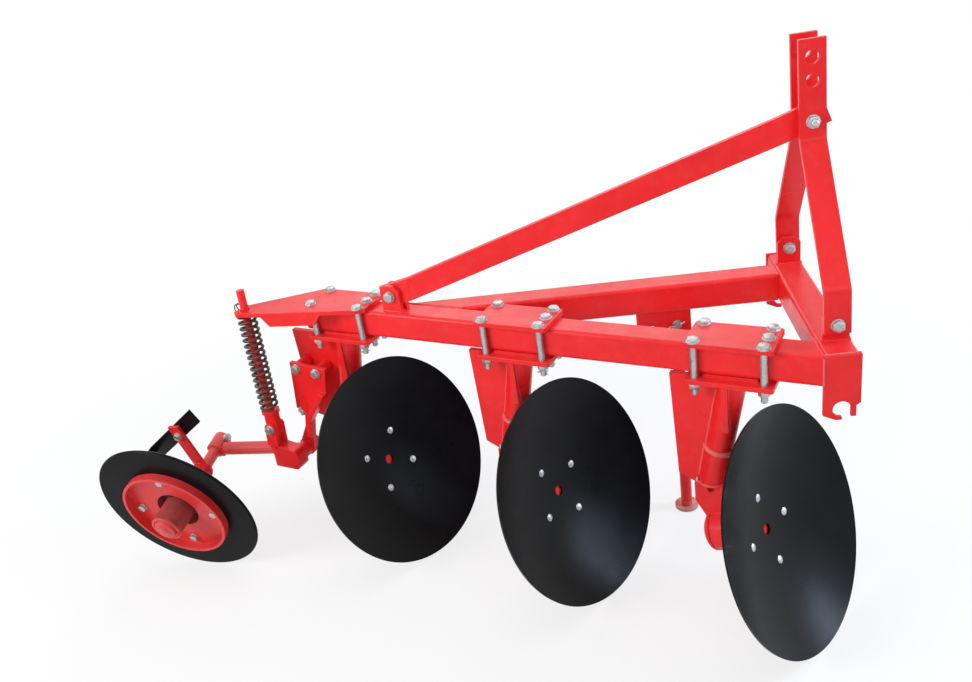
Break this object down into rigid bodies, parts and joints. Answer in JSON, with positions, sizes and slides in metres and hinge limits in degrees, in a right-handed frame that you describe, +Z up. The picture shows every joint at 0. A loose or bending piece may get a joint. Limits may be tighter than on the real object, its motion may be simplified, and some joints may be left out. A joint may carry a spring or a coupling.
{
  "type": "mounted disc plough",
  "caption": "Tractor-mounted disc plough: tubular frame with a three-point mast, tilted dished discs on clamped legs, sprung tail wheel and folding parking stand.",
  "frame": {"origin": "centre of the overall box's underside, on the floor the discs, tail wheel and stand rest on", "axes": "+X forward (towards the tractor), +Y left, +Z up"},
  "size_m": [1.798, 0.8214, 1.16],
  "materials": {
    "red_paint": "gloss",
    "black_paint": "gloss",
    "zinc": "zinc plated",
    "spring_steel": "dark oiled"
  },
  "bodies": {
    "frame": {"arm_yoke": "red_paint", "axle_socket": "red_paint", "back_stay": "red_paint", "bearing_housing_1": "red_paint", "bearing_housing_2": "red_paint", "bearing_housing_3": "red_paint", "brace_beam": "red_paint", "clamp_bolts_1": "zinc", "clamp_bolts_2": "zinc", "clamp_bolts_3": "zinc", "clamp_bottom_1": "red_paint", "clamp_bottom_2": "red_paint", "clamp_bottom_3": "red_paint", "clamp_top_1": "red_paint", "clamp_top_2": "red_paint", "crossbar": "red_paint", "fork_pin": "red_paint", "hitch_plate_left": "red_paint", "hitch_plate_right": "red_paint", "leg_plate_1": "red_paint", "leg_plate_2": "red_paint", "leg_plate_3": "red_paint", "leg_tube_1": "red_paint", "leg_tube_2": "red_paint", "leg_tube_3": "red_paint", "main_beam": "red_paint", "mast_bar_left": "red_paint", "mast_bar_right": "red_paint", "mast_bolts": "zinc", "mast_ears": "red_paint", "scraper_arm": "red_paint", "scraper_blade": "black_paint", "spring": "spring_steel", "spring_rod": "red_paint", "spring_washer": "black_paint", "stand_bracket": "red_paint", "stand_pin": "zinc", "standoffs": "red_paint", "stay_ears": "red_paint", "stay_spacers": "red_paint", "tail_arm": "red_paint", "tail_bracket": "red_paint", "tail_plate": "red_paint", "wheel_axle": "red_paint"},
    "tail_wheel": {"wheel_drum": "red_paint", "wheel_hub": "red_paint", "wheel_rim": "black_paint"},
    "stand": {"stand_leg": "red_paint"},
    "disc_unit_1": {"disc_1": "black_paint", "disc_hub_1": "red_paint"},
    "disc_unit_2": {"disc_2": "black_paint", "disc_hub_2": "red_paint"},
    "disc_unit_3": {"disc_3": "black_paint", "disc_hub_3": "red_paint"}
  },
  "joints": [
    {"name": "disc_1_spin", "type": "hinge", "parent": "frame", "child": "disc_unit_1", "pos_m": [0.73426, -0.1975, 0.24026], "axis": [0.7631, -0.5483, 0.342], "continuous": true},
    {"name": "disc_2_spin", "type": "hinge", "parent": "frame", "child": "disc_unit_2", "pos_m": [0.3051, -0.00102, 0.24026], "axis": [0.7631, -0.5483, 0.342], "continuous": true},
    {"name": "disc_3_spin", "type": "hinge", "parent": "frame", "child": "disc_unit_3", "pos_m": [-0.12406, 0.19547, 0.24026], "axis": [0.7631, -0.5483, 0.342], "continuous": true},
    {"name": "tail_wheel_spin", "type": "hinge", "parent": "frame", "child": "tail_wheel", "pos_m": [-0.69362, 0.10451, 0.20585], "axis": [-0.2464, -0.9393, -0.2385], "continuous": true},
    {"name": "stand_fold", "type": "hinge", "parent": "frame", "child": "stand", "pos_m": [0.56286, 0.232, 0.52653], "axis": [-0.0012, 1, 0], "range_deg": [0, 90]}
  ]
}
